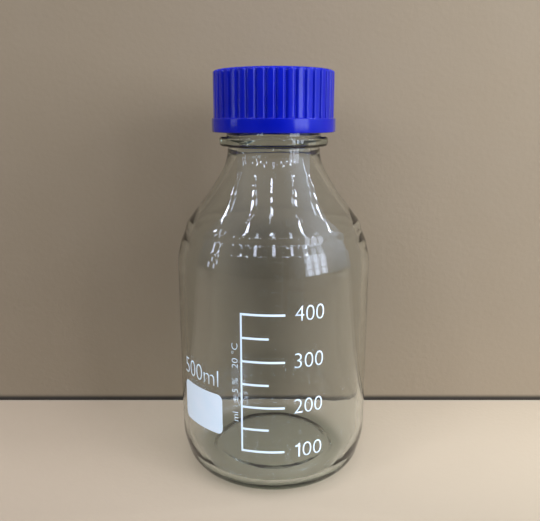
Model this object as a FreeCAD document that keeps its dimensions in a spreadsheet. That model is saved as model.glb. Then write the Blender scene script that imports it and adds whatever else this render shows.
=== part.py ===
"""Laboratory reagent bottle for 500 ml, with its pouring ring, liner and ribbed screw cap.

Millimetres, +Z up. The origin is the middle of the base, on the surface that the bottle stands on.
The printed scale faces -Y.
"""
import FreeCAD, Part
import os
import re

import Sketcher

SIZES = {
    # Glass: body and heel
    "body_radius": 43.0,
    "body_height": 99.1,
    "wall": 2.9,
    "heel_height": 15.0,
    "heel_inset": 4.0,
    "heel_round": 9.0,
    "heel_blend": 25.0,
    "inner_heel_round": 7.0,
    # Glass: base, pushed up in the middle so that it stands on a ring
    "standing_width": 11.0,
    "punt_run": 2.0,
    "punt_depth": 2.0,
    "floor_thickness": 3.6,
    "moat_thickness": 4.2,
    # Glass: shoulder, a shallow step below the cone
    "shoulder_round": 18.0,
    "step_rise": 8.9,
    "step_inset": 3.25,
    "knuckle_rise": 4.7,
    "knuckle_inset": 4.5,
    "knuckle_round": 8.0,
    "cone_rise": 26.3,
    # Glass: neck, transfer bead, thread core and snap lip
    "mouth_radius": 15.0,
    "mouth_round": 0.8,
    "neck_wall": 5.0,
    "neck_round": 12.0,
    "neck_length": 6.8,
    "bead_proud": 3.5,
    "bead_height": 4.0,
    "bead_round": 1.2,
    "finish_proud": 0.4,
    "finish_height": 16.8,
    "lip_inset": 1.3,
    "lip_height": 2.7,
    "lip_chamfer": 0.5,
    "lip_round": 0.6,
    "snap_depth": 0.8,
    "snap_height": 1.8,
    # Pouring ring
    "ring_clearance": 0.15,
    "ring_foot_gap": 0.2,
    "ring_proud": 0.1,
    "ring_cover": 1.2,
    "ring_mouth_step": 0.4,
    "drip_proud": 0.4,
    "drip_height": 1.9,
    # Liner
    "liner_thickness": 2.0,
    "liner_clearance": 0.5,
    "liner_chamfer": 0.3,
    # Screw cap
    "thread_room": 2.5,
    "roof_thickness": 2.2,
    "cap_height": 25.4,
    "cap_wall": 2.05,
    "rib_depth": 0.8,
    "rib_count": 40,
    "rib_angle": 1.4,
    "groove_width": 1.0,
    "groove_flare": 0.6,
    "crown_round": 1.8,
    "dish_rim": 4.2,
    "dish_depth": 0.5,
    "band_proud": 0.75,
    "band_height": 5.8,
    "band_round": 0.5,
    "stop_hold": 0.5,
    "stop_height": 0.7,
    "stop_gap": 0.2,
    # Enamel print
    "film_gap": 0.09,
    "film_thickness": 0.06,
    "hundred_mark": 23.2,
    "marks": 4,
    "mark_pitch": 19.8,
    "tick_width": 1.0,
    "spine_width": 1.2,
    "spine_left": 13.9,
    "long_tick": 18.3,
    "short_tick": 11.8,
    "spot_angle": 46.7,
    "spot_width": 25.0,
    "spot_height": 17.9,
    "spot_base": 27.9,
    "spot_round": 2.6,
}

# Levels and radii that follow from the sizes
HEEL_R = "(body_radius - heel_inset)"
PUNT_EDGE_R = f"({HEEL_R} - standing_width)"
PUNT_R = f"({PUNT_EDGE_R} - punt_run)"
FLOOR_Z = "(punt_depth + floor_thickness)"
STEP_R = "(body_radius - step_inset)"
STEP_Z = "(body_height + step_rise)"
KNUCKLE_R = "(body_radius - knuckle_inset)"
KNUCKLE_Z = f"({STEP_Z} + knuckle_rise)"
NECK_R = "(mouth_radius + neck_wall)"
NECK_Z = f"({KNUCKLE_Z} + cone_rise)"
BEAD_R = f"({NECK_R} + bead_proud)"
BEAD_Z = f"({NECK_Z} + neck_length)"
FINISH_R = f"({NECK_R} + finish_proud)"
FINISH_Z = f"({BEAD_Z} + bead_height)"
LEDGE_Z = f"({FINISH_Z} + finish_height)"
LIP_R = f"({FINISH_R} - lip_inset)"
SNAP_R = f"({LIP_R} - snap_depth)"
SNAP_Z = f"({LEDGE_Z} + snap_height)"
LIP_Z = f"({SNAP_Z} + lip_chamfer)"
MOUTH_Z = f"({LIP_Z} + lip_height)"
# The inside of the cone runs parallel to its outside, and meets the bore of the neck here
BORE_Z = f"({KNUCKLE_Z} + ({KNUCKLE_R} - wall - mouth_radius) * cone_rise / ({KNUCKLE_R} - {NECK_R}))"
RING_R = f"({FINISH_R} + ring_proud)"
SEAL_Z = f"({MOUTH_Z} + ring_cover)"
ROOF_Z = f"({SEAL_Z} + liner_thickness)"
CROWN_Z = f"({ROOF_Z} + roof_thickness)"
FOOT_Z = f"({CROWN_Z} - cap_height)"
BAND_Z = f"({FOOT_Z} + band_height)"
CAP_BORE_R = f"({FINISH_R} + thread_room)"
GROOVE_R = f"({CAP_BORE_R} + cap_wall)"
RIB_R = f"({GROOVE_R} + rib_depth)"
BAND_R = f"({RIB_R} + band_proud)"
LINER_R = f"({CAP_BORE_R} - liner_clearance)"
STOP_R = f"({LINER_R} - stop_hold)"
STOP_Z = f"({SEAL_Z} - stop_gap)"
FILM_R = "(body_radius + film_gap)"

FULL_TURN = 360
SAME_PLACE = 1e-4
# How far a cutting or trimming shape reaches past what it cuts
OVERREACH = 2.0

doc = FreeCAD.newDocument("reagent_bottle")
sheet = doc.addObject("Spreadsheet::Sheet", "sizes")


def fill_sheet():
    """One row for each size: its name, and its value under that name."""
    for row, (name, size) in enumerate(SIZES.items(), 1):
        sheet.set(f"A{row}", name)
        sheet.set(f"B{row}", str(size))
        sheet.setAlias(f"B{row}", name)
    doc.recompute()


def formula(text):
    """The text with each size's name pointing at the sheet."""
    return re.sub(r"[a-z_]+", lambda word: f"sizes.{word[0]}" if word[0] in SIZES else word[0], text)


def value(text):
    """What a formula comes to."""
    return float(sheet.evalExpression(text))


def bind(thing, **formulas):
    """Ties properties of an object to formulas. Two underscores in a name stand for a dot."""
    for name, text in formulas.items():
        thing.setExpression(name.replace("__", "."), formula(text))
    return thing


def new_body(label):
    body = doc.addObject("PartDesign::Body", label)
    body.Label = label
    return body


def new_sketch(body, name, role):
    """An empty sketch on one of the body's own origin planes."""
    sketch = body.newObject("Sketcher::SketchObject", name)
    plane = next(item for item in body.Origin.OriginFeatures if item.Role == role)
    sketch.AttachmentSupport = [(plane, "")]
    sketch.MapMode = "FlatFace"
    return sketch


def pin(sketch, edge, end, across, up):
    """Holds one end of an edge at a place given by two formulas."""
    for kind, axis, text in (("DistanceX", -2, across), ("DistanceY", -1, up)):
        size = value(text)
        if abs(size) < SAME_PLACE:
            sketch.addConstraint(Sketcher.Constraint("PointOnObject", edge, end, axis))
            continue
        order = (-1, 1, edge, end) if size > 0 else (edge, end, -1, 1)
        index = sketch.addConstraint(Sketcher.Constraint(kind, *order, abs(size)))
        sketch.setExpression(f"Constraints[{index}]", formula(text if size > 0 else f"-({text})"))


def draw_outline(sketch, corners):
    """A closed outline of straight edges, with every corner pinned."""
    places = [FreeCAD.Vector(value(across), value(up), 0) for across, up in corners]
    for here, there in zip(places, places[1:] + places[:1]):
        sketch.addGeometry(Part.LineSegment(here, there))
    for edge, (across, up) in enumerate(corners):
        before = (edge - 1) % len(corners)
        sketch.addConstraint(Sketcher.Constraint("Coincident", before, 2, edge, 1))
        pin(sketch, edge, 1, across, up)


def spin(body, name, kind, corners):
    """Turns an outline of (radius, height) corners round the Z axis."""
    sketch = new_sketch(body, f"{name}_outline", "XZ_Plane")
    draw_outline(sketch, corners)
    turned = body.newObject(f"PartDesign::{kind}", name)
    turned.Profile = sketch
    turned.ReferenceAxis = (sketch, ["V_Axis"])
    turned.Angle = FULL_TURN
    doc.recompute()
    return turned


def round_rings(body, name, base, radius, rings):
    """Rounds the circular edges that lie at (radius, height) places."""
    wanted = [(value(ring), value(height)) for ring, height in rings]
    names = []
    for index, edge in enumerate(base.Shape.Edges, 1):
        if not isinstance(edge.Curve, Part.Circle):
            continue
        here = (edge.Curve.Radius, edge.Curve.Center.z)
        if any(max(abs(a - b) for a, b in zip(here, ring)) < SAME_PLACE for ring in wanted):
            names.append(f"Edge{index}")
    if len(names) != len(wanted):
        raise RuntimeError(f"{name}: {len(names)} of {len(wanted)} edges found")
    rounded = body.newObject("PartDesign::Fillet", name)
    rounded.Base = (base, names)
    bind(rounded, Radius=radius)
    doc.recompute()
    return rounded


def make_glass_bottle():
    """One piece of blown glass: the outside is turned and rounded, then the inside is turned out of it."""
    body = new_body("glass_bottle")
    outside = spin(body, "blown_outside", "Revolution", [
        ("0", "punt_depth"),
        (PUNT_R, "punt_depth"),
        (PUNT_EDGE_R, "0"),
        (HEEL_R, "0"),
        ("body_radius", "heel_height"),
        ("body_radius", "body_height"),
        (STEP_R, STEP_Z),
        (KNUCKLE_R, KNUCKLE_Z),
        (NECK_R, NECK_Z),
        (NECK_R, BEAD_Z),
        (BEAD_R, BEAD_Z),
        (BEAD_R, FINISH_Z),
        (FINISH_R, FINISH_Z),
        (FINISH_R, LEDGE_Z),
        (SNAP_R, LEDGE_Z),
        (SNAP_R, SNAP_Z),
        (LIP_R, LIP_Z),
        (LIP_R, MOUTH_Z),
        ("0", MOUTH_Z),
    ])
    tip = outside
    for name, radius, rings in (
        ("heel", "heel_round", [(HEEL_R, "0")]),
        ("heel_taper", "heel_blend", [("body_radius", "heel_height")]),
        ("shoulder", "shoulder_round", [("body_radius", "body_height")]),
        ("knuckle", "knuckle_round", [(KNUCKLE_R, KNUCKLE_Z)]),
        ("neck_root", "neck_round", [(NECK_R, NECK_Z)]),
        ("bead_edges", "bead_round", [(BEAD_R, BEAD_Z), (BEAD_R, FINISH_Z)]),
        ("lip_edge", "lip_round", [(LIP_R, MOUTH_Z)]),
    ):
        tip = round_rings(body, name, tip, radius, rings)
    solid_volume = tip.Shape.Volume
    inner_r = "(body_radius - wall)"
    inner_heel = (f"({HEEL_R} - wall)", "moat_thickness")
    inner_taper = (inner_r, "heel_height")
    inner_shoulder = (inner_r, "body_height")
    inner_knuckle = (f"({KNUCKLE_R} - wall)", KNUCKLE_Z)
    bore_root = ("mouth_radius", BORE_Z)
    tip = spin(body, "blown_inside", "Groove", [
        ("0", FLOOR_Z),
        (PUNT_R, FLOOR_Z),
        (PUNT_EDGE_R, "moat_thickness"),
        inner_heel,
        inner_taper,
        inner_shoulder,
        (f"({STEP_R} - wall)", STEP_Z),
        inner_knuckle,
        bore_root,
        ("mouth_radius", MOUTH_Z),
        ("0", MOUTH_Z),
    ])
    if tip.Shape.Volume > solid_volume / 2:
        raise RuntimeError("the inside of the glass isn't cut")
    for name, radius, rings in (
        ("inner_heel", "inner_heel_round", [inner_heel]),
        ("inner_taper", "heel_blend", [inner_taper]),
        ("inner_shoulder", "shoulder_round", [inner_shoulder]),
        ("inner_knuckle", "knuckle_round", [inner_knuckle]),
        ("bore_root", "neck_round", [bore_root]),
        ("mouth_edge", "mouth_round", [("mouth_radius", MOUTH_Z)]),
    ):
        tip = round_rings(body, name, tip, radius, rings)
    return body


def make_pouring_ring():
    """Snaps over the lip: a skirt with an inner hook under the lip, a cover on top and a sharp drip edge."""
    body = new_body("pouring_ring")
    foot_z = f"({LEDGE_Z} + ring_foot_gap)"
    hook_r = f"({SNAP_R} + ring_clearance)"
    skirt_r = f"({LIP_R} + ring_clearance)"
    drip_r = f"({RING_R} + drip_proud)"
    spin(body, "ring", "Revolution", [
        (hook_r, foot_z),
        (RING_R, foot_z),
        (RING_R, f"({SEAL_Z} - drip_height)"),
        (drip_r, f"({SEAL_Z} - ring_cover / 2)"),
        (drip_r, SEAL_Z),
        ("(mouth_radius + ring_mouth_step)", SEAL_Z),
        ("(mouth_radius + ring_mouth_step)", MOUTH_Z),
        (skirt_r, MOUTH_Z),
        (skirt_r, f"({LIP_Z} - ring_clearance * 2)"),
        (hook_r, f"({SNAP_Z} - ring_clearance * 2)"),
    ])
    return body


def make_cap_liner():
    """Flat sealing disc between the pouring ring and the roof of the cap."""
    body = new_body("cap_liner")
    spin(body, "disc", "Revolution", [
        ("0", SEAL_Z),
        (f"({LINER_R} - liner_chamfer)", SEAL_Z),
        (LINER_R, f"({SEAL_Z} + liner_chamfer)"),
        (LINER_R, f"({ROOF_Z} - liner_chamfer)"),
        (f"({LINER_R} - liner_chamfer)", ROOF_Z),
        ("0", ROOF_Z),
    ])
    return body


def draw_groove(sketch):
    """The space between two ribs, on the +X side: a flat floor with a slope each side of it."""
    half_floor = "(groove_width / 2)"
    half_mouth = f"({half_floor} + groove_flare)"
    beyond_r = f"({RIB_R} + rib_depth)"
    draw_outline(sketch, [
        (GROOVE_R, f"-{half_floor}"),
        (RIB_R, f"-{half_mouth}"),
        (beyond_r, f"-{half_mouth}"),
        (beyond_r, half_mouth),
        (RIB_R, half_mouth),
        (GROOVE_R, half_floor),
    ])


def make_screw_cap():
    """A moulded cup with a smooth band round its foot and a ring of grip ribs above it."""
    body = new_body("screw_cap")
    dish_r = f"({RIB_R} - dish_rim)"
    cup = spin(body, "cup", "Revolution", [
        ("0", ROOF_Z),
        (CAP_BORE_R, ROOF_Z),
        (CAP_BORE_R, STOP_Z),
        (STOP_R, f"({STOP_Z} - stop_height / 2)"),
        (CAP_BORE_R, f"({STOP_Z} - stop_height)"),
        (CAP_BORE_R, FOOT_Z),
        (BAND_R, FOOT_Z),
        (BAND_R, BAND_Z),
        (RIB_R, BAND_Z),
        (RIB_R, CROWN_Z),
        (dish_r, CROWN_Z),
        (f"({dish_r} - dish_depth)", f"({CROWN_Z} - dish_depth)"),
        ("0", f"({CROWN_Z} - dish_depth)"),
    ])
    crown = round_rings(body, "crown", cup, "crown_round", [(RIB_R, CROWN_Z)])
    band = round_rings(body, "band_edges", crown, "band_round", [(BAND_R, FOOT_Z), (BAND_R, BAND_Z)])
    sketch = new_sketch(body, "groove_outline", "XY_Plane")
    bind(sketch, AttachmentOffset__Base__z=BAND_Z)
    draw_groove(sketch)
    groove = body.newObject("PartDesign::Pocket", "groove")
    groove.Profile = sketch
    groove.Reversed = True
    bind(groove, Length="cap_height")
    doc.recompute()
    if groove.Shape.Volume >= band.Shape.Volume:
        raise RuntimeError("the grip groove cuts nothing")
    ribs = body.newObject("PartDesign::PolarPattern", "grip_ribs")
    ribs.Originals = [groove]
    ribs.Axis = (sketch, ["N_Axis"])
    ribs.Angle = FULL_TURN
    bind(ribs, Occurrences="rib_count")
    body.Tip = ribs
    body.Placement = FreeCAD.Placement(FreeCAD.Vector(), FreeCAD.Vector(0, 0, 1), 1)
    bind(body, Placement__Rotation__Angle="rib_angle")
    return body


def make_film(name):
    """A thin sleeve that hugs the glass, from which a print is cut."""
    sleeve = doc.addObject("Part::Cut", f"{name}_film")
    sleeve.Base = bind(doc.addObject("Part::Cylinder", f"{name}_film_outside"),
                       Radius=f"{FILM_R} + film_thickness", Height="body_height")
    sleeve.Tool = bind(doc.addObject("Part::Cylinder", f"{name}_film_inside"),
                       Radius=FILM_R, Height="body_height")
    return sleeve


def print_block(name, left, width, low, height):
    """A block in front of the glass whose shape is printed onto it. left and low are its edges."""
    block = doc.addObject("Part::Box", name)
    return bind(block, Length=width, Width="body_radius", Height=height, Placement__Base__x=left,
                Placement__Base__y=f"-body_radius - {OVERREACH}", Placement__Base__z=low)


def make_print(label, stencil):
    enamel = doc.addObject("Part::Common", label)
    enamel.Label = label
    enamel.Base = make_film(label)
    enamel.Tool = stencil
    return enamel


def make_volume_scale():
    """A ladder: one upright line, a long line at each hundred and a short one half way between."""
    spine_height = "mark_pitch * (marks - 1) + tick_width"
    low = "hundred_mark - tick_width / 2"
    blocks = [print_block("spine", "-spine_left", "spine_width", low, spine_height)]
    marks = round(value("marks"))
    for half in range(2 * marks - 1):
        length = "short_tick" if half % 2 else "long_tick"
        blocks.append(print_block(f"tick_{half}", "-spine_left", length,
                                  f"{low} + mark_pitch * {half} / 2", "tick_width"))
    ladder = doc.addObject("Part::MultiFuse", "ladder")
    ladder.Shapes = blocks
    return make_print("volume_scale", ladder)


def make_marking_spot():
    """A white field with round corners, to write on."""
    block = print_block("spot_block", "-spot_width / 2", "spot_width", "spot_base", "spot_height")
    doc.recompute()
    stencil = doc.addObject("Part::Fillet", "spot_stencil")
    stencil.Base = block
    radius = value("spot_round")
    along = FreeCAD.Vector(0, 1, 0)
    stencil.Edges = [
        (index, radius, radius) for index, edge in enumerate(block.Shape.Edges, 1)
        if abs(edge.tangentAt(edge.FirstParameter).dot(along)) > 1 - SAME_PLACE
    ]
    spot = make_print("marking_spot", stencil)
    spot.Placement = FreeCAD.Placement(FreeCAD.Vector(), FreeCAD.Vector(0, 0, 1), 1)
    bind(spot, Placement__Rotation__Angle="-spot_angle")
    return spot


def check_document(parts):
    """Stops before anything is written if an object failed or a part isn't one sound solid."""
    failed = [thing.Name for thing in doc.Objects if {"Invalid", "Error"} & set(thing.State)]
    unsound = [part.Label for part in parts
               if part.Shape.isNull() or not part.Shape.isValid() or len(part.Shape.Solids) != 1]
    if failed or unsound:
        raise RuntimeError(f"failed: {failed}, unsound: {unsound}")


def main():
    fill_sheet()
    parts = [
        make_glass_bottle(),
        make_pouring_ring(),
        make_cap_liner(),
        make_screw_cap(),
        make_volume_scale(),
        make_marking_spot(),
    ]
    doc.recompute()
    check_document(parts)
    os.makedirs("parts", exist_ok=True)
    for part in parts:
        part.Shape.exportStep(f"parts/{part.Label}.step")
        print(f"{part.Label}: {part.Shape.Volume / 1000:.2f} ml")


main()
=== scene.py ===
"""Looks for a 500 ml reagent bottle: turned glass, ribbed screw cap, pouring ring, liner and fired print.

Pieces are sized in millimetres here and become metres when a mesh is made. Finishes, stage, lamps and camera
are in metres. +Z is up and the print faces -Y. Angles round a piece run anticlockwise from +X, seen from
above.
"""
import math

import bmesh
import bpy
from mathutils import Matrix, Vector


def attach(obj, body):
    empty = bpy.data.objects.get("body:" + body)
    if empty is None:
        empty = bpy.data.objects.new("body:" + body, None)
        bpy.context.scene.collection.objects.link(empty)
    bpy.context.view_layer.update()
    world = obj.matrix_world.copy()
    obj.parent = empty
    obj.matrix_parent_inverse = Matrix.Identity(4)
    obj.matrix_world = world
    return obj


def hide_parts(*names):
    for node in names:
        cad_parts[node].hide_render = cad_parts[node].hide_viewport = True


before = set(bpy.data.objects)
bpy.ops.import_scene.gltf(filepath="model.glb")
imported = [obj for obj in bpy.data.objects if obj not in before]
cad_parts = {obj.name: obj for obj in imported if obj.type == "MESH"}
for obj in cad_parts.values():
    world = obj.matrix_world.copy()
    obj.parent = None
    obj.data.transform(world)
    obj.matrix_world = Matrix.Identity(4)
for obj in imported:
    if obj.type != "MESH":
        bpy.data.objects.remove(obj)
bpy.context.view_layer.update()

MM = 0.001
FULL_TURN = 2 * math.pi
FRONT = -math.pi / 2

# Facets of the arcs in a profile, in degrees. Arcs up to SMALL_BEND in radius have coarser ones, and a corner
# that turns by less than STRAIGHT, in radians, has none.
ARC_FACET = 6
SMALL_ARC_FACET = 12
SMALL_BEND = 0.55
STRAIGHT = 1e-3

# Points closer than this are one: in metres on a turned piece, in millimetres in flat artwork
SEAM_JOIN = 1e-6
ART_JOIN = 1e-4

# Glass: the skin is a little inside the radius of the body, so that its ripple stays within the CAD box
BODY_R = 43.0
SKIN_R = BODY_R - 0.015
INNER_R = BODY_R - 2.9
MOUTH_R = 15.0
FINISH_R = 20.4
GLASS_SEGMENTS = 192
RIPPLE_SCALE = 85.0
RIPPLE_DETAIL = 3.0
RIPPLE_ROUGHNESS = 0.6

# Screw thread: the same helix on the neck and, half a pitch lower, in the cap
THREAD_START = 154.6
THREAD_PITCH = 4.0
THREAD_ROW = 0.3
CAP_THREAD_ROW = 0.54
THREAD = {"thread_pitch": THREAD_PITCH, "thread_turns": 1.9, "thread_root": 1.4, "thread_crest": 0.6,
          "run_out": 0.12}

# Cap
CAP_SEGMENTS = 640
GROOVE_R = 24.95
RIB_DEPTH = 0.8
RIBS = {"rib_count": 40, "rib_phase": FRONT + math.radians(1.4), "rib_depth": RIB_DEPTH, "rib_groove": 0.6,
        "rib_round": 0.9, "rib_radius": GROOVE_R + RIB_DEPTH, "rib_top": 176.9, "rib_corner": 1.6}

# Print, laid out flat: x runs to the right of the front line and y up; a box is (left, right, low, high)
ENAMEL_IN = 0.03
ENAMEL_THICK = 0.06
LETTER_OFFSET = -0.015
LETTER_STEPS = 6
LADDER = {"Lines": 7, "Spacing": 9.9, "First": 23.2, "Left": -13.68, "Upright": 0.76, "Line": 0.92,
          "Long": 18.08, "Short": 11.58}
LINE_POINTS = 16
UPRIGHT_POINTS = 3
NUMBERS = 4
NUMBER_RISE = 0.5
NUMBER_HALF = 3.15
NUMBER_SPAN = (8.3, 20.6)
ZEROS_SPAN = (12.1, 20.7)
ONE_SPAN = (8.9, 11.0)
ONE_STROKE = 0.72
CAPACITY_BOX = (-47.1, -24.2, 49.2, 56.4)
TOLERANCE_BOX = (-17.6, -14.9, 36, 70)
FIELD_BOX = (-47.7, -22.4, 27.9, 45.8)
FIELD_BEND = 2.6
FIELD_FACET = 9
FIELD_STRIPS = 20


# Nodes and meshes

def node(tree, kind, feeds=None, **settings):
    """Adds a node. feeds maps its inputs to values, or to the sockets that feed them."""
    made = tree.nodes.new(kind)
    for name, setting in settings.items():
        setattr(made, name, setting)
    for key, feed in (feeds or {}).items():
        if isinstance(feed, bpy.types.NodeSocket):
            tree.links.new(feed, made.inputs[key])
        else:
            made.inputs[key].default_value = feed
    return made


def calc(tree, operation, *terms):
    """A Math node on sockets or numbers; gives its output."""
    return node(tree, "ShaderNodeMath", dict(enumerate(terms)), operation=operation).outputs[0]


def ramp(tree, value, start, end, low=0.0, high=1.0, kind="SMOOTHSTEP"):
    """A ramp from low at start to high at end, level beyond both; gives its output."""
    return node(tree, "ShaderNodeMapRange", {
        "Value": value, "From Min": start, "From Max": end, "To Min": low, "To Max": high},
        interpolation_type=kind).outputs[0]


def attribute(tree, label):
    """The output of a named attribute of a mesh."""
    return node(tree, "GeometryNodeInputNamedAttribute", {"Name": label}, data_type="FLOAT").outputs[0]


def position(tree):
    return node(tree, "GeometryNodeInputPosition").outputs[0]


def object_place(tree):
    """The X, Y and Z outputs of a spot in the object's own space."""
    place = node(tree, "ShaderNodeTexCoord").outputs["Object"]
    return node(tree, "ShaderNodeSeparateXYZ", {0: place}).outputs


def new_tree(name, kind, inputs, outputs):
    """A node group with named sockets; gives the tree, its inputs and its output node."""
    tree = bpy.data.node_groups.new(name, kind)
    for way, sockets in (("INPUT", inputs), ("OUTPUT", outputs)):
        for label, socket in sockets:
            tree.interface.new_socket(label, in_out=way, socket_type=f"NodeSocket{socket}")
    return tree, tree.nodes.new("NodeGroupInput").outputs, tree.nodes.new("NodeGroupOutput")


def finish_tree(tree, given, result, geometry):
    """Ends a Geometry Nodes tree with real geometry in its material."""
    real = node(tree, "GeometryNodeRealizeInstances", {"Geometry": geometry})
    dressed = node(tree, "GeometryNodeSetMaterial", {
        "Geometry": real.outputs[0], "Material": given["Material"]})
    tree.links.new(dressed.outputs[0], result.inputs[0])


def show(name, data):
    """Puts a mesh, a curve, a light or a camera into the scene as an object at the origin."""
    piece = bpy.data.objects.new(name, data)
    bpy.context.scene.collection.objects.link(piece)
    return piece


def final_mesh(piece):
    """The mesh of an object after its modifiers, or of its lettering."""
    depsgraph = bpy.context.evaluated_depsgraph_get()
    return bpy.data.meshes.new_from_object(piece.evaluated_get(depsgraph), depsgraph=depsgraph)


def grow(name, tree, values, start=None):
    """Runs a Geometry Nodes tree on a mesh and keeps the result as a plain mesh."""
    piece = show(name, start or bpy.data.meshes.new(f"{name}_start"))
    modifier = piece.modifiers.new("grow", "NODES")
    modifier.node_group = tree
    for item in tree.interface.items_tree:
        if item.in_out == "INPUT" and item.name in values:
            modifier[item.identifier] = values[item.name]
    mesh = final_mesh(piece)
    piece.modifiers.clear()
    piece.data = mesh
    mesh.name = name
    return piece


# Turned pieces

def corner(r, z, bend=0.0, step=3.0, ripple=0.0, thread=0.0, rib=0.0):
    """A corner of a profile. bend rounds it; step is the spacing of points on the run after it."""
    return {"at": Vector((r, z)), "bend": bend, "step": step, "marks": (ripple, thread, rib)}


def bent(before, here, after):
    """The points that stand for one corner: an arc, or the corner itself."""
    a = (before["at"] - here["at"]).normalized()
    b = (after["at"] - here["at"]).normalized()
    opening = a.angle(b)
    turn = math.pi - opening
    if not here["bend"] or turn < STRAIGHT:
        return [here["at"]]
    middle = here["at"] + (a + b).normalized() * here["bend"] / math.sin(opening / 2)
    first = here["at"] + a * here["bend"] / math.tan(opening / 2) - middle
    side = 1 if first.y * a.x - first.x * a.y > 0 else -1
    facet = ARC_FACET if here["bend"] > SMALL_BEND else SMALL_ARC_FACET
    count = max(3, math.ceil(math.degrees(turn) / facet))
    return [middle + Matrix.Rotation(side * turn * i / count, 2) @ first for i in range(count + 1)]


def profile_points(corners):
    """Points along the profile, each with its ripple, thread and rib marks."""
    arcs = [[corners[0]["at"]]]
    arcs += [bent(*corners[i - 1:i + 2]) for i in range(1, len(corners) - 1)]
    arcs.append([corners[-1]["at"]])
    points = [(spot, corners[0]["marks"]) for spot in arcs[0]]
    for here, there, arc, next_arc in zip(corners, corners[1:], arcs, arcs[1:]):
        start, end = arc[-1], next_arc[0]
        count = max(1, round((end - start).length / here["step"]))
        for k in range(1, count):
            share = k / count
            marks = [m + (n - m) * share for m, n in zip(here["marks"], there["marks"])]
            points.append((start.lerp(end, share), marks))
        points += [(spot, there["marks"]) for spot in next_arc]
    return points


def profile_mesh(name, corners):
    """A profile as loose points, with its marks as attributes."""
    points = profile_points(corners)
    mesh = bpy.data.meshes.new(f"{name}_profile")
    mesh.from_pydata([(p.x * MM, 0, p.y * MM) for p, _ in points], [], [])
    for index, label in enumerate(("ripple", "thread", "rib")):
        layer = mesh.attributes.new(label, "FLOAT", "POINT")
        unit = MM if label == "ripple" else 1
        layer.data.foreach_set("value", [marks[index] * unit for _, marks in points])
    return mesh


def thread_lift(tree, given, around, height, mark):
    """How far the thread lifts a point near a turn of its helix. It fades out at both ends of the helix."""
    climb = calc(tree, "DIVIDE", calc(tree, "SUBTRACT", height, given["Thread Start"]), given["Thread Pitch"])
    offset = calc(tree, "SUBTRACT", climb, around)
    turn = calc(tree, "ROUND", offset)
    off_turn = calc(tree, "ABSOLUTE", calc(tree, "SUBTRACT", offset, turn))
    away = calc(tree, "MULTIPLY", off_turn, given["Thread Pitch"])
    along = calc(tree, "ADD", around, turn)
    to_end = calc(tree, "MINIMUM", along, calc(tree, "SUBTRACT", given["Thread Turns"], along))
    fade = ramp(tree, to_end, 0.0, given["Run Out"])
    flank = ramp(tree, away, given["Thread Root"], given["Thread Crest"])
    full = calc(tree, "MULTIPLY", given["Thread Height"], mark)
    return calc(tree, "MULTIPLY", calc(tree, "MULTIPLY", flank, fade), full)


def rib_lift(tree, given, angle, height, mark):
    """How far a grip rib lifts a point. A rib is a pad with a round shoulder and round corners at the top."""
    pitch = calc(tree, "DIVIDE", calc(tree, "MULTIPLY", given["Rib Radius"], FULL_TURN), given["Rib Count"])
    past_phase = calc(tree, "MULTIPLY", calc(tree, "SUBTRACT", angle, given["Rib Phase"]), given["Rib Count"])
    share = calc(tree, "FRACT", calc(tree, "DIVIDE", past_phase, FULL_TURN))
    aside = calc(tree, "MULTIPLY", calc(tree, "ABSOLUTE", calc(tree, "SUBTRACT", share, 0.5)), pitch)
    half_pad = calc(tree, "MULTIPLY", calc(tree, "SUBTRACT", pitch, given["Rib Groove"]), 0.5)

    def in_corner(edge, spot):
        """How far a spot lies inside the zone of the round corner, measured towards an edge."""
        room = calc(tree, "SUBTRACT", edge, spot)
        return calc(tree, "MAXIMUM", calc(tree, "SUBTRACT", given["Rib Corner"], room), 0.0)

    def square(value):
        return calc(tree, "MULTIPLY", value, value)

    in_side = in_corner(half_pad, aside)
    in_top = in_corner(given["Rib Top"], height)
    to_corner = calc(tree, "SQRT", calc(tree, "ADD", square(in_side), square(in_top)))
    inside = calc(tree, "DIVIDE", calc(tree, "SUBTRACT", given["Rib Corner"], to_corner), given["Rib Round"])
    inside = node(tree, "ShaderNodeClamp", {"Value": inside, "Min": 0.0, "Max": 1.0}).outputs[0]
    pad = calc(tree, "SQRT", calc(tree, "SUBTRACT", 1.0, square(calc(tree, "SUBTRACT", 1.0, inside))))
    return calc(tree, "MULTIPLY", pad, calc(tree, "MULTIPLY", given["Rib Depth"], mark))


def add_ripple(tree, given, geometry):
    """The ripple of blown glass: noise along the normals, as deep as the ripple mark says."""
    noise = node(tree, "ShaderNodeTexNoise", {"Vector": position(tree), "Scale": given["Ripple Scale"],
                                              "Detail": RIPPLE_DETAIL, "Roughness": RIPPLE_ROUGHNESS})
    swing = calc(tree, "MULTIPLY", calc(tree, "SUBTRACT", noise.outputs[0], 0.5), 2.0)
    depth = calc(tree, "MULTIPLY", swing, attribute(tree, "ripple"))
    push = node(tree, "ShaderNodeVectorMath", {0: node(tree, "GeometryNodeInputNormal").outputs[0],
                                               "Scale": depth}, operation="SCALE")
    moved = node(tree, "GeometryNodeSetPosition", {"Geometry": geometry, "Offset": push.outputs[0]})
    return moved.outputs[0]


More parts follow.
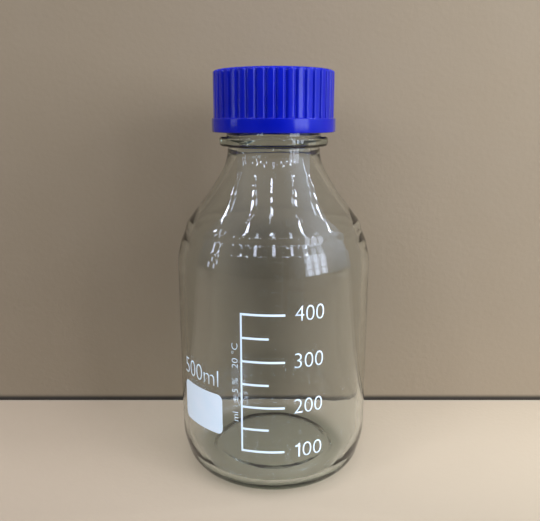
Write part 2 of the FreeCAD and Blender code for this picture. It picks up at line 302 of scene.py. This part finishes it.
def make_turned_tree():
    """Spins a profile. Where the profile is marked, it adds a screw thread, grip ribs or ripple."""
    tree, given, result = new_tree("turned_piece", "GeometryNodeTree", [
        ("Profile", "Geometry"), ("Rows", "Int"), ("Segments", "Int"), ("Material", "Material"),
        ("Thread Pitch", "Float"), ("Thread Start", "Float"), ("Thread Turns", "Float"),
        ("Thread Height", "Float"), ("Thread Root", "Float"), ("Thread Crest", "Float"), ("Run Out", "Float"),
        ("Rib Count", "Float"), ("Rib Phase", "Float"), ("Rib Depth", "Float"), ("Rib Groove", "Float"),
        ("Rib Round", "Float"), ("Rib Radius", "Float"), ("Rib Top", "Float"), ("Rib Corner", "Float"),
        ("Ripple Scale", "Float"),
    ], [("Geometry", "Geometry")])
    grid = node(tree, "GeometryNodeMeshGrid", {
        "Size X": 1.0, "Size Y": 1.0, "Vertices X": calc(tree, "ADD", given["Segments"], 1.0),
        "Vertices Y": given["Rows"]})
    place = node(tree, "ShaderNodeSeparateXYZ", {0: position(tree)}).outputs
    around = calc(tree, "ADD", place["X"], 0.5)
    last_row = calc(tree, "SUBTRACT", given["Rows"], 1.0)
    row = calc(tree, "ROUND", calc(tree, "MULTIPLY", calc(tree, "ADD", place["Y"], 0.5), last_row))

    def sample(value, data_type):
        """A value of the profile, at the point that this row of the grid stands for."""
        return node(tree, "GeometryNodeSampleIndex", {
            "Geometry": given["Profile"], "Value": value, "Index": row},
            data_type=data_type, domain="POINT").outputs[0]

    def mark(label):
        return sample(attribute(tree, label), "FLOAT")

    spot = node(tree, "ShaderNodeSeparateXYZ", {0: sample(position(tree), "FLOAT_VECTOR")}).outputs
    radius, height = spot["X"], spot["Z"]
    angle = calc(tree, "MULTIPLY", around, FULL_TURN)
    lift = calc(tree, "ADD", thread_lift(tree, given, around, height, mark("thread")),
                rib_lift(tree, given, angle, height, mark("rib")))
    reach = calc(tree, "ADD", radius, lift)
    spun = node(tree, "ShaderNodeCombineXYZ", {
        "X": calc(tree, "MULTIPLY", reach, calc(tree, "COSINE", angle)),
        "Y": calc(tree, "MULTIPLY", reach, calc(tree, "SINE", angle)), "Z": height})
    kept = node(tree, "GeometryNodeStoreNamedAttribute", {
        "Geometry": grid.outputs["Mesh"], "Name": "ripple", "Value": mark("ripple")},
        data_type="FLOAT", domain="POINT")
    turned = node(tree, "GeometryNodeSetPosition", {"Geometry": kept.outputs[0], "Position": spun.outputs[0]})
    closed = node(tree, "GeometryNodeMergeByDistance", {"Geometry": turned.outputs[0], "Distance": SEAM_JOIN})
    rippled = add_ripple(tree, given, closed.outputs[0])
    smooth = node(tree, "GeometryNodeSetShadeSmooth", {"Geometry": rippled, "Shade Smooth": True})
    finish_tree(tree, given, result, smooth.outputs[0])
    return tree


TURNED = make_turned_tree()

# Inputs of the tree that aren't lengths
PLAIN_NUMBERS = ("Thread Turns", "Run Out", "Rib Count", "Rib Phase", "Ripple Scale")
# What a piece without thread or ribs is given, so that nothing is divided by zero
UNUSED_PARTS = {"Thread Pitch": 1.0, "Rib Count": 1.0, "Rib Round": 1.0, "Rib Corner": 1.0}


def turn_piece(name, corners, segments, material, **sizes):
    """A turned piece. The extra values are the tree's other inputs, with lengths in millimetres."""
    profile = profile_mesh(name, corners)
    values = {**UNUSED_PARTS, "Rows": len(profile.vertices), "Segments": segments, "Material": material}
    for label, size in sizes.items():
        label = label.replace("_", " ").title()
        values[label] = size if label in PLAIN_NUMBERS else size * MM
    return grow(name, TURNED, values, profile)


# Finishes

def make_grain_group():
    """Fine grain and wide blotches that every finish uses, each with its own scale."""
    tree, given, result = new_tree("surface_grain", "ShaderNodeTree",
                                   [("Grain Scale", "Float"), ("Blotch Scale", "Float")],
                                   [("Grain", "Float"), ("Blotch", "Float")])
    place = node(tree, "ShaderNodeTexCoord").outputs["Object"]
    for label, detail in (("Grain", 3.0), ("Blotch", 2.0)):
        noise = node(tree, "ShaderNodeTexNoise", {"Vector": place, "Scale": given[f"{label} Scale"],
                                                  "Detail": detail})
        tree.links.new(noise.outputs[0], result.inputs[label])
    return tree


GRAIN = make_grain_group()

# The part of the noise's range over which a finish wanders
BLOTCH_LOW, BLOTCH_HIGH = 0.3, 0.7


def make_finish(name, dark, light, rough, grain=(2500.0, 0.00002), blotch=45.0, **constants):
    """A Principled finish. Its colour and roughness wander between two values.

    grain gives the scale and the depth of a fine relief, blotch the scale of the wandering.
    """
    material = bpy.data.materials.new(name)
    material.use_nodes = True
    tree = material.node_tree
    surface = tree.nodes["Principled BSDF"]
    for label, value in constants.items():
        surface.inputs[label.replace("_", " ").title().replace("Ior", "IOR")].default_value = value
    pattern = node(tree, "ShaderNodeGroup", node_tree=GRAIN)
    pattern.inputs["Grain Scale"].default_value = grain[0]
    pattern.inputs["Blotch Scale"].default_value = blotch
    wander = pattern.outputs["Blotch"]
    tone = ramp(tree, wander, BLOTCH_LOW, BLOTCH_HIGH, kind="LINEAR")
    colour = node(tree, "ShaderNodeMix", {"Factor": tone}, data_type="RGBA")
    colour.inputs["A"].default_value = (*dark, 1)
    colour.inputs["B"].default_value = (*light, 1)
    dull = ramp(tree, wander, BLOTCH_LOW, BLOTCH_HIGH, *rough, kind="LINEAR")
    relief = node(tree, "ShaderNodeBump", {"Height": pattern.outputs["Grain"], "Strength": 1.0,
                                           "Distance": grain[1]})
    tree.links.new(colour.outputs["Result"], surface.inputs["Base Color"])
    tree.links.new(dull, surface.inputs["Roughness"])
    tree.links.new(relief.outputs[0], surface.inputs["Normal"])
    return material


# How much light a face of the glass lets through to what stands in its shadow: low on the wall, high on the
# wall, and where the wall turns away from the lamp
SHADOW_LOW_Z, SHADOW_HIGH_Z = 0.01, 0.12
SHADOW_LOW = (0.97, 0.98, 0.97, 1)
SHADOW_HIGH = (0.42, 0.43, 0.43, 1)
SHADOW_EDGE = (0.04, 0.05, 0.04, 1)
SHADOW_EDGE_BLEND = 0.3
GLASS_DENSITY = 22.0
GLASS_BODY = (0.47, 0.67, 0.50, 1)


def make_glass():
    """Clear glass with a faint grey-green body. Lamps shine through it."""
    material = make_finish("clear_glass", (0.896, 0.906, 0.908), (0.906, 0.916, 0.918), (0.0, 0.015),
                           grain=(70.0, 0.00003), blotch=30.0, ior=1.474, transmission_weight=1.0)
    tree = material.node_tree
    output = tree.nodes["Material Output"]
    path = node(tree, "ShaderNodeLightPath")
    slant = node(tree, "ShaderNodeLayerWeight", {"Blend": SHADOW_EDGE_BLEND})
    up_wall = ramp(tree, object_place(tree)["Z"], SHADOW_LOW_Z, SHADOW_HIGH_Z, kind="LINEAR")
    level = node(tree, "ShaderNodeMix", {"Factor": up_wall}, data_type="RGBA")
    level.inputs["A"].default_value = SHADOW_LOW
    level.inputs["B"].default_value = SHADOW_HIGH
    shade = node(tree, "ShaderNodeMix", {"Factor": slant.outputs["Facing"]}, data_type="RGBA")
    shade.inputs["B"].default_value = SHADOW_EDGE
    tree.links.new(level.outputs["Result"], shade.inputs["A"])
    clear = node(tree, "ShaderNodeBsdfTransparent", {"Color": shade.outputs["Result"]})
    mixed = node(tree, "ShaderNodeMixShader", {
        0: path.outputs["Is Shadow Ray"], 1: tree.nodes["Principled BSDF"].outputs[0], 2: clear.outputs[0]})
    body = node(tree, "ShaderNodeVolumeAbsorption", {"Density": GLASS_DENSITY})
    body.inputs["Color"].default_value = GLASS_BODY
    tree.links.new(mixed.outputs[0], output.inputs["Surface"])
    tree.links.new(body.outputs[0], output.inputs["Volume"])
    return material


GLASS = make_glass()
BLUE = make_finish("blue_plastic", (0.001, 0.005, 0.25), (0.003, 0.009, 0.355), (0.10, 0.16),
                   specular_ior_level=0.28)
LINER = make_finish("soft_liner", (0.70, 0.69, 0.64), (0.80, 0.79, 0.75), (0.55, 0.7),
                    grain=(1500.0, 0.00004))
ENAMEL = make_finish("white_enamel", (0.80, 0.92, 0.97), (0.85, 0.94, 0.98), (0.40, 0.55),
                     grain=(3000.0, 0.00001), blotch=160.0)


# Pieces

def make_bottle():
    """Blown glass, from the middle of the base up the outside, over the lip and down the inside."""
    corners = [
        # Push-up, standing ring and heel
        corner(0, 2.2, step=1.5, ripple=0.12),
        corner(25.5, 2.2, bend=4, step=1, ripple=0.12),
        corner(28.5, 0.09, bend=3.5, step=1, ripple=0.09),
        corner(39, 0.09, bend=9, step=1.5, ripple=0.06),
        # Body, stepped shoulder, cone and neck
        corner(SKIN_R, 15, bend=25, step=4),
        corner(SKIN_R, 98, bend=26, step=1, ripple=0.01),
        corner(41, 105.4, bend=6, step=1, ripple=0.06),
        corner(39.2, 109.6, bend=5, step=1, ripple=0.08),
        corner(38.5, 112.7, bend=4, step=1, ripple=0.06),
        corner(27.95, 126.4, bend=80, step=1, ripple=0.06),
        corner(20, 139.4, bend=20, step=1, ripple=0.05),
        # Bead, threaded finish and lip
        corner(20, 145.8, bend=0.6),
        corner(23.5, 145.8, bend=1.2),
        corner(23.5, 149.8, bend=1.2),
        corner(FINISH_R, 149.8, bend=0.5, step=THREAD_ROW, thread=1),
        corner(FINISH_R, 166.6, bend=0.4, thread=1),
        corner(18.3, 166.6, bend=0.3),
        corner(18.3, 168.4, bend=0.2),
        corner(19.1, 168.9, bend=0.3),
        corner(19.1, 171.6, bend=0.6),
        # Bore, inside of the cone and of the body, floor
        corner(MOUTH_R, 171.6, bend=0.8, step=2),
        corner(MOUTH_R, 142.5, bend=40, step=1, ripple=0.04),
        corner(25, 126.4, bend=80, step=1, ripple=0.05),
        corner(35.9, 112.7, bend=34, step=1, ripple=0.08),
        corner(INNER_R, 97.5, bend=40, step=2, ripple=0.08),
        corner(INNER_R, 80, step=2, ripple=0.05),
        corner(INNER_R, 30, step=1.5, ripple=0.05),
        corner(INNER_R, 15, bend=25, step=1.2, ripple=0.14),
        corner(36.1, 4.2, bend=7, step=1.2, ripple=0.32),
        corner(29, 4.0, bend=4, step=1.2, ripple=0.32),
        corner(25.4, 6.0, bend=4, step=1.5, ripple=0.32),
        corner(0, 6.0, ripple=0.25),
    ]
    return turn_piece("clear_bottle", corners, GLASS_SEGMENTS, GLASS, thread_start=THREAD_START,
                      thread_height=2.0, ripple_scale=RIPPLE_SCALE, **THREAD)


def make_ring():
    """From the hook under the lip up the outside to the drip edge, in over the mouth and down the inside."""
    corners = [
        corner(18.45, 167.4),
        corner(18.45, 166.8, bend=0.2),
        corner(20.5, 166.8, bend=0.25),
        corner(20.5, 170.9, bend=0.4),
        corner(20.9, 172.2, bend=0.2),
        corner(20.9, 172.8, bend=0.1),
        corner(15.4, 172.8, bend=0.5),
        corner(15.4, 171.62, bend=0.3),
        corner(19.25, 171.62, bend=0.15),
        corner(19.25, 168.6, bend=0.15),
        corner(18.45, 168.1, bend=0.15),
        corner(18.45, 167.4),
    ]
    return turn_piece("blue_pouring_ring", corners, GLASS_SEGMENTS, BLUE)


def make_liner():
    """A flat disc with soft edges."""
    corners = [
        corner(0, 172.82),
        corner(22.4, 172.82, bend=0.3),
        corner(22.4, 174.78, bend=0.3),
        corner(0, 174.78),
    ]
    return turn_piece("sealing_liner", corners, GLASS_SEGMENTS, LINER)


def make_cap():
    """From the underside of the roof down the threaded bore, round the foot and up the ribs to the top."""
    corners = [
        # Roof, and the ring that holds the liner
        corner(0, 174.8),
        corner(22.9, 174.8, bend=0.4),
        corner(22.9, 172.6, bend=0.1),
        corner(21.9, 172.25, bend=0.2),
        corner(22.9, 171.9, bend=0.1),
        # Threaded bore, foot and smooth band
        corner(22.9, 168, step=CAP_THREAD_ROW, thread=1),
        corner(22.9, 152.6, thread=1),
        corner(22.9, 151.6, bend=0.4),
        corner(26.5, 151.6, bend=0.5),
        corner(26.5, 157.4, bend=0.35),
        # Ribs, and the dished top
        corner(GROOVE_R, 157.4, bend=0.25, step=20, rib=1),
        corner(GROOVE_R, 173.6, step=0.2, rib=1),
        corner(GROOVE_R, 177, bend=0.9, rib=1),
        corner(21.5, 177, bend=0.3),
        corner(21, 176.5, bend=0.3),
        corner(0, 176.5),
    ]
    return turn_piece("blue_screw_cap", corners, CAP_SEGMENTS, BLUE, thread_height=-1.7,
                      thread_start=THREAD_START - THREAD_PITCH / 2, **THREAD, **RIBS)


def on_glass(x, y, lift):
    """A spot of flat artwork, laid round the glass and lifted off it."""
    r = (BODY_R + lift) * MM
    return Vector((r * math.sin(x / BODY_R), -r * math.cos(x / BODY_R), y * MM))


def fire_on(name, flat, material):
    """Lays a flat mesh of artwork round the glass as a thin closed film."""
    art = bmesh.new()
    art.from_mesh(flat)
    bmesh.ops.remove_doubles(art, verts=art.verts, dist=ART_JOIN)
    bmesh.ops.recalc_face_normals(art, faces=art.faces)
    flip = [face for face in art.faces if face.normal.z < 0]
    bmesh.ops.reverse_faces(art, faces=flip)
    raised = bmesh.ops.extrude_face_region(art, geom=list(art.faces))
    lifted = {item for item in raised["geom"] if isinstance(item, bmesh.types.BMVert)}
    for vert in art.verts:
        lift = ENAMEL_IN + (ENAMEL_THICK if vert in lifted else 0)
        vert.co = on_glass(vert.co.x, vert.co.y, lift)
    bmesh.ops.recalc_face_normals(art, faces=art.faces)
    mesh = bpy.data.meshes.new(name)
    art.to_mesh(mesh)
    art.free()
    mesh.materials.append(material)
    return show(name, mesh)


def text_mesh(words, box, turn=0.0):
    """Lettering, turned on the spot, then fitted into a box of the flat artwork."""
    curve = bpy.data.curves.new("lettering", "FONT")
    curve.body = words
    curve.resolution_u = LETTER_STEPS
    curve.offset = LETTER_OFFSET
    writer = show("lettering", curve)
    mesh = final_mesh(writer)
    bpy.data.objects.remove(writer)
    mesh.transform(Matrix.Rotation(turn, 4, "Z"))
    xs = [v.co.x for v in mesh.vertices]
    ys = [v.co.y for v in mesh.vertices]
    left, right, low, high = box
    wide = (right - left) / (max(xs) - min(xs))
    tall = (high - low) / (max(ys) - min(ys))
    mesh.transform(Matrix.Translation((left - min(xs) * wide, low - min(ys) * tall, 0))
                   @ Matrix.Diagonal((wide, tall, 1, 1)))
    return mesh


def add_one(mesh, left, right, low, high, stroke):
    """Adds a figure one with a flag, which the built-in lettering lacks, to flat artwork."""
    stem = right - stroke
    outline = [(stem, low), (right, low), (right, high), (right - 0.75 * stroke, high),
               (stem - 0.3, high - 0.7), (left, high - 1.1), (left, high - 1.75), (stem, high - 1.6)]
    art = bmesh.new()
    art.from_mesh(mesh)
    art.faces.new([art.verts.new((x, y, 0)) for x, y in outline])
    art.to_mesh(mesh)
    art.free()


def field_mesh(box, bend):
    """A flat field with round corners, in upright strips so that it follows the glass."""
    left, right, low, high = box
    ease = [bend * (1 - math.cos(math.radians(a))) for a in range(0, 90, FIELD_FACET)]
    xs = [left + e for e in ease]
    xs += [left + bend + (right - left - 2 * bend) * i / FIELD_STRIPS for i in range(FIELD_STRIPS + 1)]
    xs += [right - e for e in reversed(ease)]
    verts = []
    for x in xs:
        run = max(0.0, bend - (x - left), bend - (right - x))
        drop = bend - math.sqrt(max(bend * bend - run * run, 0))
        verts += [(x, low + drop, 0), (x, high - drop, 0)]
    faces = [(2 * i, 2 * i + 2, 2 * i + 3, 2 * i + 1) for i in range(len(xs) - 1)]
    mesh = bpy.data.meshes.new("field")
    mesh.from_pydata(verts, [], faces)
    return mesh


def make_ladder_tree():
    """The flat artwork of the volume scale: an upright with lines, every second one short."""
    tree, given, result = new_tree("volume_ladder", "GeometryNodeTree", [
        ("Lines", "Int"), ("Spacing", "Float"), ("First", "Float"), ("Left", "Float"), ("Upright", "Float"),
        ("Line", "Float"), ("Long", "Float"), ("Short", "Float"), ("Material", "Material"),
    ], [("Geometry", "Geometry")])

    def flat(x, y, z=0.0):
        return node(tree, "ShaderNodeCombineXYZ", {"X": x, "Y": y, "Z": z}).outputs[0]

    index = node(tree, "GeometryNodeInputIndex").outputs[0]
    is_short = calc(tree, "MODULO", index, 2.0)
    cut = calc(tree, "MULTIPLY", is_short, calc(tree, "SUBTRACT", given["Short"], given["Long"]))
    length = calc(tree, "SUBTRACT", calc(tree, "ADD", given["Long"], cut), given["Upright"])
    start = calc(tree, "ADD", given["Left"], given["Upright"])
    middle = calc(tree, "ADD", start, calc(tree, "MULTIPLY", length, 0.5))
    level = calc(tree, "ADD", given["First"], calc(tree, "MULTIPLY", index, given["Spacing"]))
    points = node(tree, "GeometryNodePoints", {"Count": given["Lines"], "Position": flat(middle, level)})
    bar = node(tree, "GeometryNodeMeshGrid", {
        "Size X": 1.0, "Size Y": 1.0, "Vertices X": LINE_POINTS, "Vertices Y": 2})
    lines = node(tree, "GeometryNodeInstanceOnPoints", {
        "Points": points.outputs[0], "Instance": bar.outputs[0], "Scale": flat(length, given["Line"], 1.0)})

    reach = calc(tree, "MULTIPLY", calc(tree, "SUBTRACT", given["Lines"], 1.0), given["Spacing"])
    stem = node(tree, "GeometryNodeMeshGrid", {
        "Size X": given["Upright"], "Size Y": calc(tree, "ADD", reach, given["Line"]),
        "Vertices X": UPRIGHT_POINTS, "Vertices Y": 2})
    stem_x = calc(tree, "ADD", given["Left"], calc(tree, "MULTIPLY", given["Upright"], 0.5))
    stem_y = calc(tree, "ADD", given["First"], calc(tree, "MULTIPLY", reach, 0.5))
    upright = node(tree, "GeometryNodeTransform", {"Geometry": stem.outputs[0],
                                                   "Translation": flat(stem_x, stem_y)})
    both = node(tree, "GeometryNodeJoinGeometry")
    tree.links.new(lines.outputs[0], both.inputs[0])
    tree.links.new(upright.outputs[0], both.inputs[0])
    finish_tree(tree, given, result, both.outputs[0])
    return tree


def number_mesh(hundreds):
    """The number beside one of the long lines, as flat artwork."""
    middle = LADDER["First"] + 2 * LADDER["Spacing"] * (hundreds - 1) + NUMBER_RISE
    low, high = middle - NUMBER_HALF, middle + NUMBER_HALF
    if hundreds > 1:
        return text_mesh(f"{hundreds}00", (*NUMBER_SPAN, low, high))
    flat = text_mesh("00", (*ZEROS_SPAN, low, high))
    add_one(flat, *ONE_SPAN, low, high, ONE_STROKE)
    return flat


def make_print():
    """Everything white on the glass: ladder, numbers, capacity, tolerance and the field to write on."""
    ladder = grow("flat_ladder", make_ladder_tree(), {**LADDER, "Material": ENAMEL})
    artwork = {"scale_lines": ladder.data}
    bpy.data.objects.remove(ladder)
    for hundreds in range(1, NUMBERS + 1):
        artwork[f"scale_number_{hundreds}"] = number_mesh(hundreds)
    artwork["capacity_number"] = text_mesh("500ml", CAPACITY_BOX)
    artwork["tolerance_mark"] = text_mesh("ml   ± 5 %   20 °C", TOLERANCE_BOX, turn=math.pi / 2)
    artwork["writing_field"] = field_mesh(FIELD_BOX, FIELD_BEND)
    return {name: fire_on(name, flat, ENAMEL) for name, flat in artwork.items()}


bottle = make_bottle()
ring = make_ring()
liner = make_liner()
cap = make_cap()
fired = make_print()

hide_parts("glass_bottle")
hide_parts("pouring_ring")
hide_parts("cap_liner")
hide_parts("screw_cap")
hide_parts("volume_scale")
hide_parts("marking_spot")
on_bottle = [(bottle, "glass"), (ring, "blue_plastic")]
on_bottle += [(film, "white_enamel") for film in fired.values()]
for piece, slot in on_bottle:
    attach(piece, "bottle")
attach(liner, "liner")
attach(cap, "cap")


# Stage

FLOOR_HALF = 2.0
BACKDROP_Y, BACKDROP_HALF, BACKDROP_TOP = 0.05, 0.48, 0.5
# Painted light: between these X, in metres, a sheet's tone grows from its darker left colour to its brighter
# right one, as if lit from the right
PAINTED_LIGHT_START, PAINTED_LIGHT_END = -0.13, 0.2


def sheet_with_painted_light(name, corners, left, right, axis, painted_light_steps):
    """A flat sheet of matte paper, seen from its face only, with painted light: its tone drifts from a darker
    left to a brighter right, as if lit from the right.

    Along the axis its tone also passes through steps of painted light and shade, each (start, end, low level,
    high level).
    """
    mesh = bpy.data.meshes.new(name)
    mesh.from_pydata(corners, [], [(0, 1, 2, 3)])
    paper = make_finish(f"{name}_paper", left, right, (0.85, 0.95), grain=(400.0, 0.0001))
    tree = paper.node_tree
    surface = tree.nodes["Principled BSDF"]
    place = object_place(tree)
    tone = surface.inputs["Base Color"].links[0].from_node
    # Painted light: the tone grows from the darker left colour to the brighter right one along X, as if lit
    # from the right
    tree.links.new(ramp(tree, place["X"], PAINTED_LIGHT_START, PAINTED_LIGHT_END), tone.inputs["Factor"])
    # Painted light and shade: each step scales the tone along the axis
    shade = 1.0
    for step in painted_light_steps:
        shade = calc(tree, "MULTIPLY", ramp(tree, place[axis], *step), shade)
    painted_light_tone = node(tree, "ShaderNodeVectorMath", {0: tone.outputs["Result"], "Scale": shade}, operation="SCALE")
    tree.links.new(painted_light_tone.outputs[0], surface.inputs["Base Color"])
    side = node(tree, "ShaderNodeNewGeometry")
    gone = node(tree, "ShaderNodeBsdfTransparent")
    mixed = node(tree, "ShaderNodeMixShader", {
        0: side.outputs["Backfacing"], 1: surface.outputs[0], 2: gone.outputs[0]})
    tree.links.new(mixed.outputs[0], tree.nodes["Material Output"].inputs["Surface"])
    mesh.materials.append(paper)
    sheet = show(name, mesh)


# Floor: painted light makes it brighter to the right; painted shade darkens it towards the front, to a
# quarter of its tone beyond 0.22 m in front of the bottle
sheet_with_painted_light("floor", [(x * FLOOR_HALF, y * FLOOR_HALF, 0) for x, y in ((-1, -1), (1, -1), (1, 1), (-1, 1))],
            (0.478, 0.361, 0.237), (0.607, 0.481, 0.316), "Y", [(-0.22, 0.0, 0.25, 1.0)])
# Backdrop: painted light makes it brighter to the right and up to an eighth brighter towards the top; painted
# shade makes a dark strip along its lowest 4 mm, where it meets the floor
sheet_with_painted_light("backdrop", [(x * BACKDROP_HALF, BACKDROP_Y, z * BACKDROP_TOP)
                         for x, z in ((-1, 0), (1, 0), (1, 1), (-1, 1))],
            (0.224, 0.167, 0.101), (0.303, 0.231, 0.143), "Z",
            [(0.0012, 0.0040, 0.10, 1.0), (0.05, 0.21, 1.0, 1.12)])


# Light

LAMP_COLOUR = (0.91, 1.0, 1.24)
LAMPS_AIM = Vector((0, 0, 0.1))


def lamp(name, azimuth, elevation, distance, size, radiance):
    """A soft lamp that faces the bottle. Azimuth runs from the front towards +X, in degrees."""
    light = bpy.data.lights.new(name, "AREA")
    light.shape = "RECTANGLE"
    light.size, light.size_y = size
    light.energy = radiance * math.pi * size[0] * size[1]
    light.color = LAMP_COLOUR
    a, e = math.radians(azimuth), math.radians(elevation)
    away = Vector((math.sin(a) * math.cos(e), -math.cos(a) * math.cos(e), math.sin(e)))
    holder = show(name, light)
    holder.location = LAMPS_AIM + away * distance
    holder.rotation_euler = away.to_track_quat("Z", "Y").to_euler()
    holder.visible_camera = False
    return holder


# Near ceiling lamps: rows of four spots, each row as (azimuth, elevation, radiance)
NEAR_ROWS = [(-98, 41, 44.0), (-52, 56, 44.0), (-6, 64, 26.0), (55, 55, 38.0), (95, 43, 44.0)]
NEAR_DISTANCE = 1.8
SPOT = (0.07, 0.07)
SPOT_RISES = (-6.5, -2.2, 2.2, 6.5)
for index, (azimuth, elevation, radiance) in enumerate(NEAR_ROWS):
    for spot, rise in enumerate(SPOT_RISES):
        lamp(f"near_row_{index + 1}_spot_{spot + 1}", azimuth, elevation + rise, NEAR_DISTANCE, SPOT,
             radiance)

# Far ceiling lamps: two rows of panels further into the room, dimmer in the middle
FAR_ROWS = (-3.0, -4.3)
FAR_COLUMNS = range(-3, 4)
FAR_SPACING = 1.35
FAR_HEIGHT = 2.1
FAR_PANEL = (0.22, 0.38)
SIDE_RADIANCE, MIDDLE_RADIANCE = 22.0, 12.0
far_spots = [(FAR_SPACING * column, y, abs(column) > 1) for y in FAR_ROWS for column in FAR_COLUMNS]
for index, (x, y, at_side) in enumerate(far_spots):
    across = math.hypot(x, y)
    azimuth, elevation = math.degrees(math.atan2(x, -y)), math.degrees(math.atan2(FAR_HEIGHT, across))
    lamp(f"far_panel_{index + 1}", azimuth, elevation, math.hypot(across, FAR_HEIGHT), FAR_PANEL,
         SIDE_RADIANCE if at_side else MIDDLE_RADIANCE)

PANE_DISTANCE = 1.3


def lamp_grid(name, rows, columns, first, spacing, size, radiance):
    """Panes of light in rows and columns. first and spacing are (azimuth, elevation), in degrees."""
    for row in range(rows):
        for column in range(columns):
            lamp(f"{name}_{columns * row + column + 1}", first[0] + spacing[0] * column,
                 first[1] + spacing[1] * row, PANE_DISTANCE, size, radiance)


lamp_grid("window_pane", 3, 3, (42, 3), (9, 9), (0.16, 0.18), 6.0)
lamp_grid("side_pane", 3, 2, (-72, 5), (-8, 8), (0.05, 0.12), 9.0)
lamp("ceiling_strip", 0, 29, 4.0, (6.0, 0.06), 6.0)

# Large soft fills that no mirror image shows, as (name, azimuth, elevation, radiance)
FILLS = [("overhead", 0, 86, 3.7), ("left", -30, 22, 1.55), ("right", 32, 28, 1.6),
         ("low_right", 72, 12, 5.3)]
FILL_DISTANCE = 1.3
FILL_SIZE = (0.7, 0.7)
for name, azimuth, elevation, radiance in FILLS:
    fill = lamp(f"{name}_softbox", azimuth, elevation, FILL_DISTANCE, FILL_SIZE, radiance)
    fill.visible_glossy = fill.visible_transmission = False

# The room all round: an even level, and glows of (axis, start, end, strength) towards its sides and ceiling
ROOM_COLOUR = (0.82, 0.96, 1.18, 1)
ROOM_LEVEL = 0.12
ROOM_GLOWS = [("X", 0.2, 1.0, 1.7), ("X", -0.2, -1.0, 0.12), ("Z", 0.2, 1.0, 0.2)]


def make_room():
    """World light that grows towards the right and the ceiling and is dim below the horizon."""
    world = bpy.data.worlds.new("studio")
    world.use_nodes = True
    tree = world.node_tree
    direction = node(tree, "ShaderNodeTexCoord").outputs["Generated"]
    way = node(tree, "ShaderNodeSeparateXYZ", {0: direction}).outputs
    level = ROOM_LEVEL
    for axis, start, end, strength in ROOM_GLOWS:
        level = calc(tree, "ADD", ramp(tree, way[axis], start, end, 0.0, strength), level)
    level = calc(tree, "MULTIPLY", level, ramp(tree, way["Z"], -0.05, 0.4, 0.4, 1.1))
    background = tree.nodes["Background"]
    background.inputs["Color"].default_value = ROOM_COLOUR
    tree.links.new(level, background.inputs["Strength"])
    return world


scene = bpy.context.scene
scene.world = make_room()
scene.view_settings.view_transform = "Standard"

# Camera, as fitted to the photo
CAMERA_AT = (-0.00158, -0.2632, 0.15748)
CAMERA_DOWN = 13.48
camera = bpy.data.cameras.new("camera")
camera.sensor_width = 36.0
camera.lens = 39.62
camera.clip_start = 0.01
holder = show("camera", camera)
holder.location = CAMERA_AT
holder.rotation_euler = (math.radians(90 - CAMERA_DOWN), 0, 0)
scene.camera = holder
